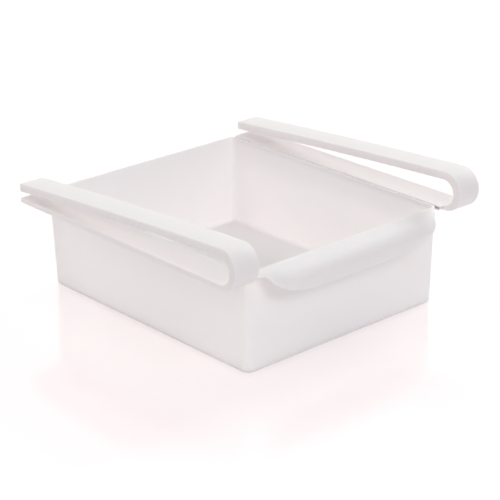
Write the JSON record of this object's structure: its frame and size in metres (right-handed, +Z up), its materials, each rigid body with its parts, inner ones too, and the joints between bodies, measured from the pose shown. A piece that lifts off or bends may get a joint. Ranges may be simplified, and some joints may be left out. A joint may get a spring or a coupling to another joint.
{
  "type": "fridge shelf organizer",
  "caption": "Pull-out fridge bin with a rolled front lip, hung under a shelf by spring clip rails that it slides in.",
  "frame": {"origin": "middle of the bin's underside, in the drawer's closed position", "axes": "+X to the right of someone facing the front, +Y towards the back of the fridge, +Z up"},
  "size_m": [0.1632, 0.1689, 0.0699],
  "materials": {
    "bin_plastic": "satin",
    "rail_plastic": "satin"
  },
  "bodies": {
    "rails": {"left_clip_rail": "rail_plastic", "right_clip_rail": "rail_plastic"},
    "drawer": {"drawer_bin": "bin_plastic"}
  },
  "joints": [
    {"name": "drawer_slide", "type": "slide", "parent": "rails", "child": "drawer", "axis": [0, -1, 0], "range_m": [0, 0.11]}
  ]
}
